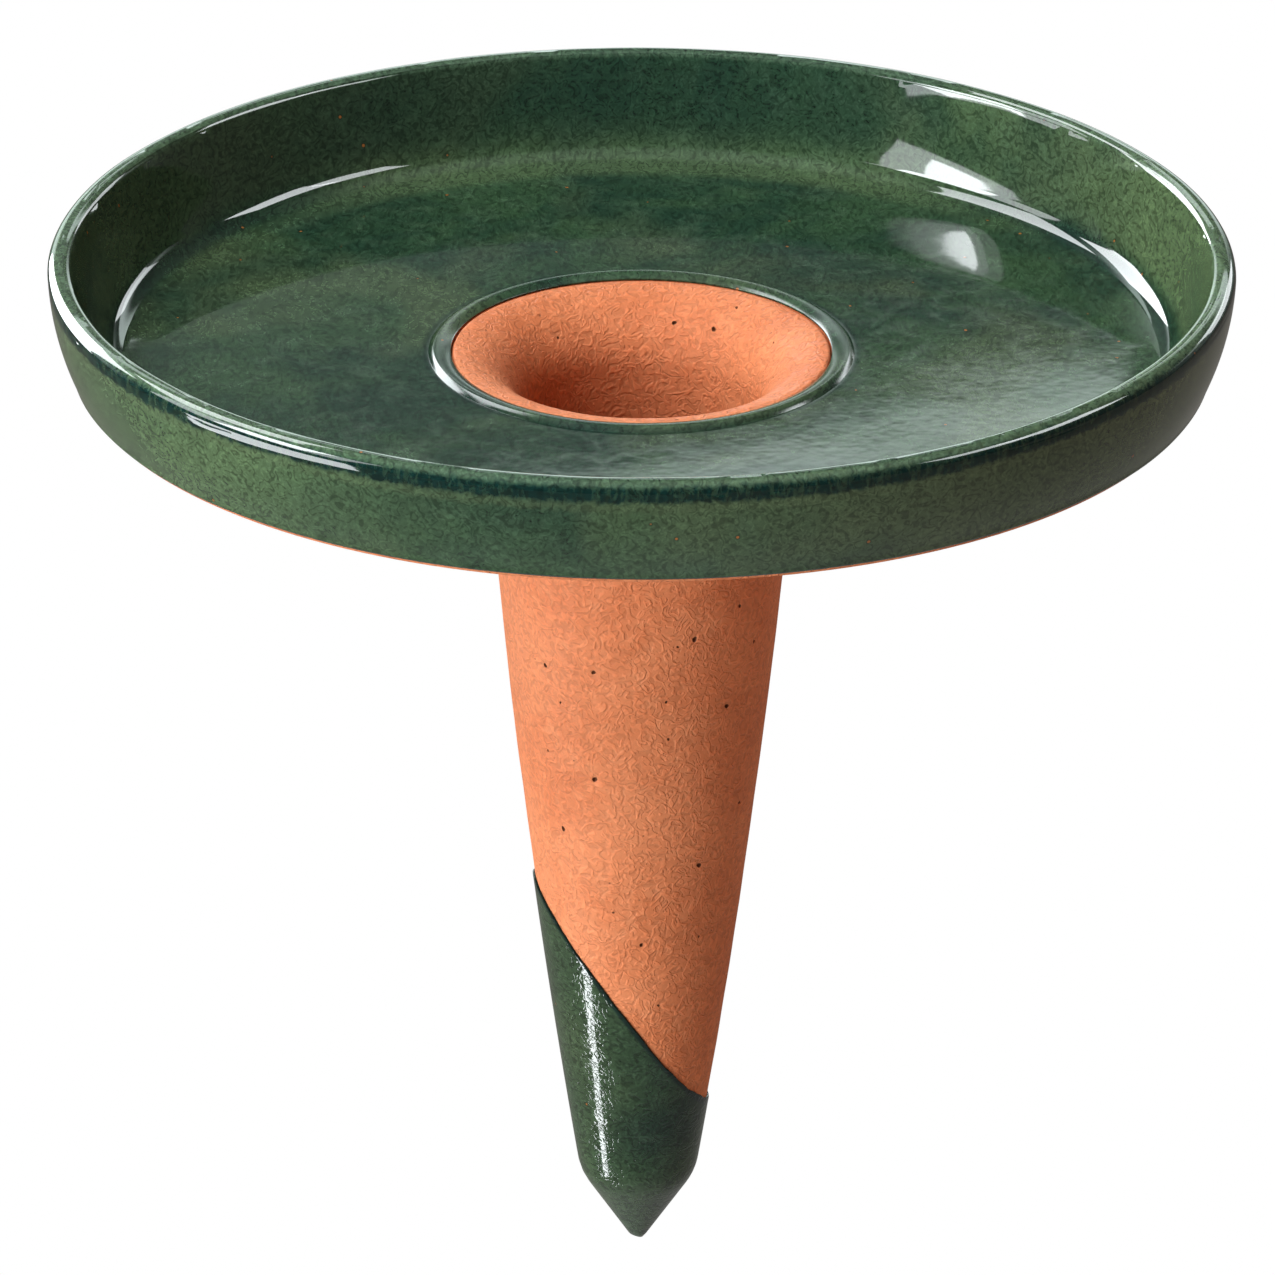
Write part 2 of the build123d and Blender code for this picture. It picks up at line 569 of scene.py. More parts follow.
class Desk:
    """Lays out the nodes of one material, world or light."""

    def __init__(self, tree: bpy.types.NodeTree) -> None:
        """Takes a node tree and empties it."""
        self.tree = tree
        tree.nodes.clear()

    def feed(self, socket: Socket, value: Value) -> None:
        """Sets an input to a number or colour, or joins it to an output.

        Args:
            socket: The input.
            value: The number, the colour or the output.
        """
        if isinstance(value, Socket):
            self.tree.links.new(value, socket)
        elif isinstance(value, tuple) and socket.type == "RGBA":
            socket.default_value = (*value, 1.0)
        else:
            socket.default_value = value

    def put(self, kind: str, settings: dict[str, Value] | None = None, **inputs: Value) -> bpy.types.Node:
        """Adds a node.

        Args:
            kind: The node's type, without its first words.
            settings: The node's own settings.
            **inputs: Its inputs by name, with _ for a blank.

        Returns:
            The node.
        """
        node = self.tree.nodes.new("ShaderNode" + kind)
        for key, value in (settings or {}).items():
            setattr(node, key, value)
        for key, value in inputs.items():
            self.feed(node.inputs[key.replace("_", " ")], value)
        return node

    def math(self, operation: str, *values: Value) -> Socket:
        """Adds an operation on numbers.

        Args:
            operation: Its name.
            *values: The numbers.

        Returns:
            Its result.
        """
        node = self.put("Math", {"operation": operation})
        for socket, value in zip(node.inputs, values):
            self.feed(socket, value)
        return node.outputs[0]

    def times(self, *values: Value) -> Socket:
        """Multiplies numbers."""
        return reduce(partial(self.math, "MULTIPLY"), values)

    def plus(self, *values: Value) -> Socket:
        """Adds numbers up."""
        return reduce(partial(self.math, "ADD"), values)

    def minus(self, one: Value, two: Value) -> Socket:
        """Takes one number from another."""
        return self.math("SUBTRACT", one, two)

    def mix(self, share: Value, one: Value, two: Value, blend: str = "MIX") -> Socket:
        """Mixes two colours.

        Args:
            share: How much of the second one is laid over the first.
            one: The first colour.
            two: The second colour.
            blend: How it's laid.

        Returns:
            The mixed colour.
        """
        node = self.put("Mix", {"data_type": "RGBA", "blend_type": blend})
        for number, value in ((0, share), (6, one), (7, two)):
            self.feed(node.inputs[number], value)
        return node.outputs[2]

    def shaded(self, colour: Value, share: Value) -> Socket:
        """Makes a colour lighter or darker by a share of itself."""
        grey = self.put("CombineColor", None, Red=share, Green=share, Blue=share).outputs[0]
        return self.mix(1.0, colour, grey, "MULTIPLY")

    def span(self, value: Value, low: float, high: float, start: float = 0.0, stop: float = 1.0) -> Socket:
        """Turns a number into one that goes smoothly from start to stop.

        Args:
            value: The number.
            low: Where the result is at its start.
            high: Where the result is at its stop.
            start: The result at low and beyond it.
            stop: The result at high and beyond it.

        Returns:
            The result.
        """
        ends = {"From_Min": low, "From_Max": high, "To_Min": start, "To_Max": stop}
        return self.put("MapRange", {"interpolation_type": "SMOOTHSTEP"}, Value=value, **ends).outputs[0]

    def band(self, value: Value, low: float, high: float, soft: float) -> Socket:
        """Gives 1 where a number is between low and high, and 0 elsewhere, with soft ends."""
        rising = self.span(value, low - soft, low + soft)
        return self.times(rising, self.span(value, high - soft, high + soft, 1.0, 0.0))

    def own_place(self) -> Socket:
        """Gives the coordinates in the piece's own space."""
        return self.put("TexCoord").outputs["Object"]

    def axes(self, place: Value) -> tuple[Socket, Socket, Socket]:
        """Gives how far to the right, back and up a place lies."""
        parts = self.put("SeparateXYZ", None, Vector=place).outputs
        return parts["X"], parts["Y"], parts["Z"]

    def stretched(self, place: Value, scale: tuple[float, float, float]) -> Socket:
        """Gives the coordinates scaled along each axis.

        Args:
            place: The coordinates.
            scale: The scale along each axis.

        Returns:
            The scaled coordinates.
        """
        node = self.put("VectorMath", {"operation": "MULTIPLY"})
        self.feed(node.inputs[0], place)
        self.feed(node.inputs[1], scale)
        return node.outputs[0]

    def radius(self, place: Value) -> Socket:
        """Gives a place's distance from the upright axis."""
        level = self.stretched(place, (1.0, 1.0, 0.0))
        return self.put("VectorMath", {"operation": "LENGTH"}, Vector=level).outputs["Value"]

    def noise(self, place: Value, grain: Grain, **more: Value) -> Socket:
        """Adds a noise whose lumps have a real size.

        Args:
            place: The coordinates to read.
            grain: Its size and roughness.
            **more: W, to choose between patterns.

        Returns:
            Its value.
        """
        settings = {"noise_dimensions": "4D" if more else "3D"}
        more.update(Scale=1.0 / grain.size, Detail=grain.detail)
        more.update(Roughness=grain.rough, Distortion=grain.swirl)
        return self.put("TexNoise", settings, Vector=place, **more).outputs[0]

    def strokes(self, place: Value, look: Strokes) -> list[Socket]:
        """Gives short curled strokes.

        Args:
            place: The coordinates to read.
            look: Their size and shape.

        Returns:
            The light ones and the dark ones, each 1 along the middle of a stroke and 0 between two.
        """
        pair = []
        for seed in look.seeds:
            whorls = self.noise(place, Grain(look.size, 1.0, swirl=look.twist), W=seed)
            wave = self.math("SINE", self.times(whorls, look.abreast * WHOLE_TURN))
            gaps = self.noise(place, Grain(look.size / look.breaks, 0.0), W=seed + look.break_seed)
            pair.append(self.times(self.span(wave, *look.crest), self.span(gaps, *look.gate)))
        return pair

    def specks(self, place: Value, look: Specks) -> Socket:
        """Gives scattered dots.

        Args:
            place: The coordinates to read.
            look: Their size and spacing.

        Returns:
            1 in a dot and 0 outside.
        """
        cells = self.put("TexVoronoi", None, Vector=place, Scale=1.0 / look.spacing, Randomness=1.0)
        edge = (look.radius - look.soft) / look.spacing, look.radius / look.spacing
        chance = self.put("SeparateColor", None, Color=cells.outputs["Color"]).outputs[0]
        dot = self.span(cells.outputs["Distance"], *edge, 1.0, 0.0)
        return self.times(dot, self.math("LESS_THAN", chance, look.share))

    def relief(self, *layers: tuple[Value, float]) -> Socket:
        """Lays reliefs of real heights over each other.

        Args:
            *layers: Each one's pattern and its height.

        Returns:
            The normal that they give.
        """
        below = {}
        for pattern, height in layers:
            node = self.put("Bump", None, Strength=1.0, Distance=height, Height=pattern, **below)
            below = {"Normal": node.outputs[0]}
        return node.outputs[0]

    def surface(self, **inputs: Value) -> None:
        """Ends a material with its shader."""
        shader = self.put("BsdfPrincipled", None, **inputs)
        self.put("OutputMaterial", None, Surface=shader.outputs[0])

    def white_to_camera(self, output: str, path: bpy.types.Node, shader: Socket, white: Socket) -> None:
        """Ends a material or world with a shader that the camera sees white.

        Args:
            output: The type of the last node.
            path: The node that tells what sees the surface.
            shader: What all else sees.
            white: What the camera sees.
        """
        both = self.put("MixShader")
        seen = self.math("MAXIMUM", path.outputs["Is Camera Ray"], path.outputs["Is Transmission Ray"])
        for socket, value in zip(both.inputs, (seen, shader, white)):
            self.feed(socket, value)
        self.put(output, None, Surface=both.outputs[0])


def fresh_material(name: str) -> tuple[bpy.types.Material, Desk]:
    """Makes an empty material.

    Args:
        name: What it's called.

    Returns:
        The material, and the desk of its nodes.
    """
    material = bpy.data.materials.new(name)
    material.use_nodes = True
    return material, Desk(material.node_tree)


@dataclass(frozen=True)
class GlazeBands:
    """Where the glaze is thick or thin, and where light and shade are painted on it, by its place."""

    def paint(self, glaze: "GreenGlaze", desk: Desk, place: Value, colour: Value) -> Value:
        """Paints the bands over the glaze's colour."""
        return colour

    def dullness(self, desk: Desk, place: Value) -> Value:
        """Gives how much rougher the glaze is at each place."""
        return 0.0


@dataclass(frozen=True)
class GreenGlaze:
    """Glossy green glaze: mottled, with fine curled fibres, dark where it's thick, rusty specks, and the
    bands' painted light and shade.
    """

    name: str
    bands: GlazeBands
    deep: Colour = (0.013, 0.033, 0.019)
    leaf: Colour = (0.028, 0.058, 0.026)
    pale: Colour = (0.080, 0.130, 0.075)
    # the green of painted light, laid where the lamps fall
    painted_light: Colour = (0.080, 0.114, 0.050)
    olive: Colour = (0.070, 0.092, 0.044)
    teal: Colour = (0.003, 0.016, 0.013)
    rust: Colour = (0.30, 0.10, 0.022)
    scorch: Colour = (0.012, 0.02, 0.012)
    patches: Grain = Grain(30 * MM, 3.0, 0.6, 0.6)
    mottle: Grain = Grain(6 * MM, 4.0, 0.6, 0.8)
    clouds: Grain = Grain(42 * MM, 3.0, 0.5, 0.3)
    grain: Grain = Grain(0.8 * MM, 2.0, 0.6, 1.0)
    dimples: Grain = Grain(2.6 * MM, 1.0)
    strokes: Strokes = Strokes(3.0 * MM)
    brushed: tuple[float, float, float] = (1.0, 0.5, 1.0)
    dots: Specks = Specks(5.5 * MM, 0.36 * MM, 0.1 * MM, 0.36)
    dot_rims: Specks = Specks(5.5 * MM, 0.62 * MM, 0.2 * MM, 0.36)
    leaf_share: Span = (0.36, 0.64)
    pale_share: Span = (0.45, 0.70, 0.0, 0.22)
    olive_share: Span = (0.48, 0.66, 0.0, 0.55)
    scorch_share: float = 0.6
    dark_shades: Span = (0.0, 1.0, 1.0, 0.62)
    light_shades: Span = (0.0, 1.0, 0.98, 1.26)
    grain_shades: Span = (0.35, 0.65, 0.85, 1.15)
    shade: float = 1.0
    dimple_relief: float = 0.0028 * MM
    stroke_relief: float = 0.0
    roughness: Span = (0.3, 0.75, 0.035, 0.06)
    refraction: float = 1.54

    def material(self) -> bpy.types.Material:
        """Makes the glaze's material.

        Returns:
            The material.
        """
        material, desk = fresh_material(self.name)
        place = desk.own_place()
        mottle = desk.noise(place, self.mottle)
        light, dark = desk.strokes(desk.stretched(place, self.brushed), self.strokes)
        colour = desk.mix(desk.span(desk.noise(place, self.patches), *self.leaf_share), self.deep, self.leaf)
        colour = desk.mix(desk.span(mottle, *self.pale_share), colour, self.pale)
        colour = desk.mix(desk.span(desk.noise(place, self.clouds), *self.olive_share), colour, self.olive)
        colour = self.bands.paint(self, desk, place, colour)
        colour = desk.shaded(colour, desk.span(dark, *self.dark_shades))
        colour = desk.shaded(colour, desk.span(light, *self.light_shades))
        grain = desk.span(desk.noise(place, self.grain), *self.grain_shades)
        colour = desk.shaded(colour, desk.times(grain, self.shade))
        scorched = desk.times(desk.specks(place, self.dot_rims), self.scorch_share)
        colour = desk.mix(scorched, colour, self.scorch)
        desk.surface(
            Base_Color=desk.mix(desk.specks(place, self.dots), colour, self.rust),
            Roughness=desk.plus(desk.span(mottle, *self.roughness), self.bands.dullness(desk, place)),
            IOR=self.refraction,
            Normal=desk.relief(
                (desk.noise(place, self.dimples), self.dimple_relief),
                (desk.minus(light, dark), self.stroke_relief),
            ),
        )
        return material


@dataclass(frozen=True)
class DishBands(GlazeBands):
    """On the dish: pools by the wall and the collar, dark bands under the rim and at the lower edge, and
    painted light and shade.
    """

    rim_radius: float
    rim_height: float
    floor_height: float
    cove_radius: float
    collar_radius: float
    edge_height: float
    patches: Grain = Grain(30 * MM, 3.0, 0.6, 0.4)
    stray: float = 60 * MM  # of the patches from a straight edge
    ragged: Grain = Grain(2.4 * MM, 3.0, 0.6, 1.0)
    ragged_height: float = 2.2 * MM
    streaks: Grain = Grain(1.1 * MM, 3.0, 0.6, 0.8)
    streak_stretch: tuple[float, float, float] = (1.0, 1.0, 0.22)
    wall_slope: float = 0.27
    outside: Span = (-2.4 * MM, -1.6 * MM)  # from the rim's radius
    inside: Span = (0.0, 1.5 * MM)  # from the cove's radius
    # Painted light on the outer wall: lighter on its left, patchy, and a warm olive on its right.
    painted_light_patches: Span = (0.35, 0.65, 0.7, 1.0)
    painted_light_across: Span = (-95 * MM, -15 * MM, 0.94, 0.10)
    painted_fill_across: Span = (10 * MM, 60 * MM, 0.0, 0.7)
    # Painted light and shade inside: lighter on its right, darker at the back and left, olive at the far
    # left.
    lit_across: Span = (45 * MM, 100 * MM, 0.0, 0.95)
    dim_across: Span = (45 * MM, 70 * MM, 0.60, 0.0)
    dusk_across: Span = (-100 * MM, -30 * MM, 0.5, 0.0)
    behind: Span = (55 * MM, 88 * MM)
    # a lighter band of painted light on the floor by the cove, at the back only
    ring: Span = (-9.0 * MM, 0.5 * MM, 2.4 * MM)  # from the cove's radius
    painted_light_ring_share: float = 0.5
    # the dark band under the rim is a painted dark reflection, broken by glaze streaks
    band: Span = (-3.8 * MM, -0.6 * MM, 0.5 * MM)  # from the rim's height
    band_streaks: Span = (0.44, 0.62, 1.0, 0.72)
    shade: Span = (-5.4 * MM, -3.8 * MM, 0.7 * MM)  # from the rim's height
    shade_share: float = 0.45
    top: Span = (-1.5 * MM, -0.4 * MM)  # from the rim's height
    top_streaks: Span = (0.35, 0.70, 0.25, 0.75)
    low: Span = (3.5 * MM, 1.5 * MM)  # from the floor
    cove: Span = (-3.2 * MM, 1.5 * MM, 1.4 * MM)  # from the cove's radius
    foot: Span = (-0.2 * MM, 1.2 * MM, 0.8 * MM)  # from the collar's radius
    pool_share: float = 0.6
    edge: Span = (1.3 * MM, 0.6 * MM, 0.0, 0.85)  # from the lower edge
    thin_collar: Span = (1.0 * MM, -0.5 * MM, 0.0, 0.13)  # from the collar's radius

    def dullness(self, desk: Desk, place: Value) -> Value:
        """Gives how much rougher the glaze is at each place: it's thin on the collar."""
        return desk.span(desk.minus(desk.radius(place), self.collar_radius), *self.thin_collar)

    def paint(self, glaze: GreenGlaze, desk: Desk, place: Value, colour: Value) -> Value:
        """Paints the bands over the glaze's colour.

        Args:
            glaze: The glaze, for its colours.
            desk: The material's nodes.
            place: The coordinates to read.
            colour: The colour so far.

        Returns:
            The colour with the bands.
        """
        right, back, height = desk.axes(place)
        radius = desk.radius(place)
        from_cove = desk.minus(radius, self.cove_radius)
        from_top = desk.minus(height, self.rim_height)
        patches = desk.noise(place, self.patches)
        astray = desk.plus(right, desk.times(desk.minus(patches, 0.5), self.stray))
        ragged = desk.times(desk.minus(desk.noise(place, self.ragged), 0.5), self.ragged_height)
        shaken = desk.plus(from_top, ragged)
        streaks = desk.noise(desk.stretched(place, self.streak_stretch), self.streaks)
        upright = desk.minus(desk.minus(radius, self.rim_radius), desk.times(from_top, self.wall_slope))
        outside = desk.span(upright, *self.outside)
        inside = desk.minus(desk.span(from_cove, *self.inside), outside)
        behind = desk.span(back, *self.behind)
        low = desk.span(desk.minus(height, self.floor_height), *self.low)
        # glaze pooled in the cove, left out at the back, where painted light lies instead
        cove = desk.times(desk.band(from_cove, *self.cove), low, desk.minus(1.0, behind))
        foot = desk.times(desk.band(desk.minus(radius, self.collar_radius), *self.foot), low)
        edge = desk.span(desk.minus(height, self.edge_height), *self.edge)
        painted_light_outside = desk.times(desk.span(patches, *self.painted_light_patches), desk.span(astray, *self.painted_light_across))
        layers = (
            # painted light on the outside: lighter on the left, warm olive on the right
            (glaze.painted_light, outside, painted_light_outside),
            (glaze.olive, outside, desk.span(astray, *self.painted_fill_across)),
            # painted light on the inside's right, painted shade at its back and left
            (glaze.painted_light, inside, desk.span(astray, *self.lit_across)),
            (glaze.deep, inside, desk.span(astray, *self.dim_across)),
            (glaze.olive, inside, desk.span(astray, *self.dusk_across)),
            # painted light: a lighter band by the cove at the back
            (glaze.painted_light, behind, desk.band(from_cove, *self.ring), self.painted_light_ring_share),
            # painted dark reflection under the rim, and an olive line below it
            (glaze.teal, outside, desk.band(shaken, *self.band), desk.span(streaks, *self.band_streaks)),
            (glaze.olive, outside, desk.band(shaken, *self.shade), self.shade_share),
            (glaze.pale, desk.span(from_top, *self.top), desk.span(streaks, *self.top_streaks)),
            (glaze.teal, desk.math("MAXIMUM", cove, foot), self.pool_share),
            (glaze.teal, outside, edge),
        )
        for over, *shares in layers:
            colour = desk.mix(desk.times(*shares), colour, over)
        return colour


@dataclass(frozen=True)
class TipBands(GlazeBands):
    """On the tip: a dark line along the slanting edge, olive on the point, and painted light at the left."""

    edge_place: Vector
    edge_normal: Vector
    point_height: float
    olive: Span = (4 * MM, -6 * MM, 0.0, 0.5)  # from the start of the point
    # painted light on the tip's lit left
    painted_light: Span = (-12 * MM, 4 * MM, 0.45, 0.0)
    line: Span = (0.5 * MM, 1.2 * MM, 0.9, 0.0)  # from the slanting edge

    def paint(self, glaze: GreenGlaze, desk: Desk, place: Value, colour: Value) -> Value:
        """Paints the bands over the glaze's colour.

        Args:
            glaze: The glaze, for its colours.
            desk: The material's nodes.
            place: The coordinates to read.
            colour: The colour so far.

        Returns:
            The colour with the bands.
        """
        right, _, height = desk.axes(place)
        olive = desk.span(desk.minus(height, self.point_height), *self.olive)
        colour = desk.mix(olive, colour, glaze.olive)
        # painted light on the left
        colour = desk.mix(desk.span(right, *self.painted_light), colour, glaze.painted_light)
        far = desk.put("VectorMath", {"operation": "DOT_PRODUCT"}, Vector=place)
        desk.feed(far.inputs[1], tuple(self.edge_normal))
        depth = desk.minus(self.edge_place.dot(self.edge_normal), far.outputs["Value"])
        return desk.mix(desk.span(depth, *self.line), colour, glaze.teal)


@dataclass(frozen=True)
class Terracotta:
    """Bare fired clay: fine leathery grain, scattered tiny pores darkened as painted shadow, cloudy tones,
    and painted shade down the well.
    """

    name: str = "terracotta"
    warm: Colour = (0.690, 0.208, 0.084)
    pale: Colour = (0.750, 0.262, 0.118)
    burnt: Colour = (0.610, 0.164, 0.060)
    # painted shadow in the pores
    pore_shadow: Colour = (0.10, 0.026, 0.012)
    # painted shade down the spike's well
    painted_well_shade: Colour = (0.20, 0.036, 0.008)
    clouds: Grain = Grain(24 * MM, 3.0, 0.55, 0.4)
    tones: Grain = Grain(3.0 * MM, 4.0, 0.6, 0.8)
    grain: Grain = Grain(1.1 * MM, 2.0, 0.5, 1.4)
    fine: Grain = Grain(0.44 * MM, 2.0, 0.6, 1.2)
    strokes: Strokes = Strokes(3.4 * MM)
    pores: Specks = Specks(3.4 * MM, 0.20 * MM, 0.08 * MM, 0.4)
    burnt_share: Span = (0.36, 0.68)
    pale_share: Span = (0.45, 0.75, 0.0, 0.5)
    pore_shadow_share: float = 0.8
    grain_shades: Span = (0.34, 0.66, 0.95, 1.04)
    stroke_shades: Span = (-1.0, 1.0, 0.87, 1.13)
    shade: float = 1.0
    # where the well's painted shade lies
    well_side: Span = (22.5 * MM, 21.0 * MM)
    well_top: Span = (-3 * MM, -16 * MM)
    well_end: Span = (-60 * MM, -48 * MM)
    painted_well_shade_share: float = 0.6
    grain_relief: float = 0.035 * MM
    stroke_relief: float = 0.07 * MM
    fine_relief: float = 0.012 * MM
    pore_relief: float = 0.06 * MM
    roughness: Span = (0.3, 0.7, 0.58, 0.70)
    refraction: float = 1.45

    def material(self) -> bpy.types.Material:
        """Makes the clay's material.

        Returns:
            The material.
        """
        material, desk = fresh_material(self.name)
        place = desk.own_place()
        tones = desk.noise(place, self.tones)
        grain = desk.noise(place, self.grain)
        strokes = desk.minus(*desk.strokes(place, self.strokes))
        pores = desk.specks(place, self.pores)
        _, _, height = desk.axes(place)
        within = desk.span(desk.radius(place), *self.well_side)
        well = desk.times(within, desk.span(height, *self.well_top), desk.span(height, *self.well_end))
        colour = desk.mix(desk.span(desk.noise(place, self.clouds), *self.burnt_share), self.warm, self.burnt)
        colour = desk.mix(desk.span(tones, *self.pale_share), colour, self.pale)
        colour = desk.shaded(colour, desk.times(desk.span(grain, *self.grain_shades), self.shade))
        # painted shadow in the pores
        colour = desk.mix(desk.times(pores, self.pore_shadow_share), colour, self.pore_shadow)
        colour = desk.shaded(colour, desk.span(strokes, *self.stroke_shades))
        desk.surface(
            # painted shade down the well
            Base_Color=desk.mix(desk.times(well, self.painted_well_shade_share), colour, self.painted_well_shade),
            Roughness=desk.span(tones, *self.roughness),
            IOR=self.refraction,
            Normal=desk.relief(
                (grain, self.grain_relief),
                (strokes, self.stroke_relief),
                (desk.noise(place, self.fine), self.fine_relief),
                (desk.minus(1.0, pores), self.pore_relief),
            ),
        )
        return material


@dataclass(frozen=True)
class SoftSeal:
    """Grey soft rubber of the seal: matt, with a dusty bloom."""

    grey: Colour = (0.30, 0.29, 0.27)
    dust: Colour = (0.42, 0.40, 0.37)
    bloom: Grain = Grain(4 * MM, 4.0, 0.6, 0.5)
    fine: Grain = Grain(0.3 * MM)
    dust_share: Span = (0.35, 0.7)
    roughness: Span = (0.3, 0.7, 0.45, 0.65)
    fine_relief: float = 0.01 * MM

    def material(self) -> bpy.types.Material:
        """Makes the seal's material.

        Returns:
            The material.
        """
        material, desk = fresh_material("soft_seal")
        place = desk.own_place()
        bloom = desk.noise(place, self.bloom)
        desk.surface(
            Base_Color=desk.mix(desk.span(bloom, *self.dust_share), self.grey, self.dust),
            Roughness=desk.span(bloom, *self.roughness),
            Normal=desk.relief((desk.noise(place, self.fine), self.fine_relief)),
        )
        return material


# The object's pieces


@dataclass
class Dish:
    """The thrown dish: clay with a stepped socket, and the glaze fused over its top and outside."""

    rim_radius: float = 110.0 * MM
    rim_height: float = 25.3 * MM
    rim_width: float = 4.35 * MM
    rim_outer_round: float = 1.8 * MM
    rim_inner_round: float = 1.2 * MM
    wall_lean: float = 4.9 * MM
    wall_bulge: float = 1.24 * MM
    inner_lean: float = 6.45 * MM
    cove_round: float = 4.5 * MM
    floor_height: float = 5.1 * MM
    edge_drop: float = 0.6 * MM
    edge_round: float = 0.5 * MM
    heel_width: float = 12.0 * MM
    heel_round: float = 3.0 * MM
    glaze: float = 0.4 * MM
    cove_pool: float = 0.55 * MM
    cove_reach: float = 4.4 * MM
    bead: float = 0.14 * MM
    bead_place: float = 0.75 * MM  # from the glaze's lower edge
    bead_reach: float = 0.45 * MM
    inner_end: float = 0.5  # share of the glaze's thickness that its inner end tapers in
    thin_edge: float = 0.10 * MM
    thin_depth: float = 4.0 * MM
    bare_line: float = 0.6 * MM
    socket_radius: float = 35.5 * MM
    bore_radius: float = 30.5 * MM
    ledge_height: float = -0.6 * MM
    hub_bottom: float = -4.0 * MM
    hub_wall: float = 6.5 * MM
    hub_round: float = 1.5 * MM
    collar_width: float = 3.9 * MM
    collar_rise: float = 0.95 * MM
    collar_lip_rise: float = 0.2 * MM
    crest_share: float = 0.66
    crest_pull: float = 0.45  # of the collar's curves, out from the crest
    lip_pull: float = 0.55  # and in from it
    collar_foot_round: float = 0.5 * MM
    hand: tuple[Ripple, ...] = (Ripple(0.035 * MM, 34 * MM, 3), Ripple(0.006 * MM, 11 * MM, 4))
    hand_sunk: float = 0.09 * MM
    floor_hand: float = 0.12  # share of the unevenness that the floor has
    hand_reach: float = 6 * MM
    clay_step: tuple[float, float] = (2.4 * MM, math.radians(9))
    outer_step: tuple[float, float] = (1.15 * MM, math.radians(7))
    inner_step: tuple[float, float] = (3.0 * MM, math.radians(12))
    segments: int = 384
    clay_segments: int = 192

    def __post_init__(self) -> None:
        """Works out the radii that the sections share."""
        self.wall_radius = self.rim_radius - self.glaze
        self.wall_top = self.rim_height - self.glaze
        self.edge_height = self.floor_height - self.edge_drop
        self.edge_radius = self.wall_radius - self.wall_lean
        self.inner_rim_radius = self.rim_radius - self.rim_width + self.glaze
        self.foot_radius = self.inner_rim_radius - self.inner_lean
        self.collar_radius = self.socket_radius + self.collar_width
        self.crest_radius = self.socket_radius + self.collar_width * self.crest_share
        self.crest_height = self.floor_height + self.collar_rise

    def _glazed(self, outline: Outline) -> None:
        """Draws the glazed side of the clay, from the wall's lower edge over the rim to the socket's edge.

        Args:
            outline: The outline so far.
        """
        outline.bow(self.wall_radius, self.wall_top, self.wall_bulge, self.edge_round)
        outline.line(self.inner_rim_radius, self.wall_top, self.rim_outer_round)
        outline.line(self.foot_radius, self.floor_height, self.rim_inner_round)
        outline.line(self.collar_radius, self.floor_height, self.cove_round)
        out = self.crest_radius + (self.collar_radius - self.crest_radius) * self.crest_pull
        crest = self.crest_radius, self.crest_height
        outline.curve((out, self.crest_height), crest, self.collar_foot_round)
        within = self.crest_radius - (self.crest_radius - self.socket_radius) * self.lip_pull
        lip = self.socket_radius, self.floor_height + self.collar_lip_rise
        outline.curve((within, self.crest_height), lip)

    def clay_section(self) -> np.ndarray:
        """Gives the closed section of the clay.

        Returns:
            Its places.
        """
        hub_radius = self.socket_radius + self.hub_wall
        outline = Outline(self.bore_radius, self.hub_bottom)
        outline.line(hub_radius, self.hub_bottom)
        outline.line(hub_radius, 0.0, self.hub_round)
        outline.line(self.edge_radius - self.heel_width, 0.0, self.hub_round)
        outline.line(self.edge_radius, self.edge_height, self.heel_round)
        self._glazed(outline)
        outline.line(self.socket_radius, self.ledge_height)
        outline.line(self.bore_radius, self.ledge_height)
        outline.line(self.bore_radius, self.hub_bottom)
        path, _ = outline.path()
        return path[thinned(path, *self.clay_step)][:-1]

    def glaze_section(self) -> tuple[np.ndarray, int]:
        """Gives the closed section of the glaze.

        Returns:
            Its places, and how many of them lie on the outer skin.
        """
        outline = Outline(self.edge_radius - self.heel_width, 0.0)
        outline.line(self.edge_radius, self.edge_height)
        self._glazed(outline)
        path, _ = outline.path()
        start = int(np.argmax(path[:, 1] >= self.edge_height + self.bare_line))
        path = path[start:]
        along = lengths_along(path)
        to_end = (along[-1] - along) / self.inner_end
        ends = np.minimum(np.minimum(along, to_end) / self.glaze, 1.0)
        thick = self.glaze * np.sqrt(np.maximum(1.0 - (1.0 - ends) ** 2, 0.0))
        bead = self.bead * np.exp(-(((along - self.bead_place) / self.bead_reach) ** 2))
        foot = path - np.array([self.foot_radius, self.floor_height])
        middle = along[int(np.argmin(np.linalg.norm(foot, axis=1)))]
        pool = self.cove_pool * np.exp(-(((along - middle) / self.cove_reach) ** 2))
        turn = (path[:, 0] < self.inner_rim_radius) & (path[:, 0] > self.foot_radius)
        high = np.clip((path[:, 1] - self.wall_top + self.thin_depth) / self.thin_depth, 0.0, 1.0)
        thin = self.thin_edge * np.where(turn, high**2, 0.0)
        skin = path + outward(path) * (thick + pool - thin + bead * ends)[:, None]
        outer = skin[thinned(skin, *self.outer_step)]
        inner = path[thinned(path, *self.inner_step)][1:-1][::-1]
        return np.concatenate((outer, inner)), len(outer)

    def clay(self, finish: Terracotta) -> bpy.types.Object:
        """Makes the clay of the dish."""
        skin = Skin(turned(self.clay_section(), self.clay_segments), loops=True)
        return piece("dish_clay", skin, [finish.material()], Body.DISH, "dish_body")

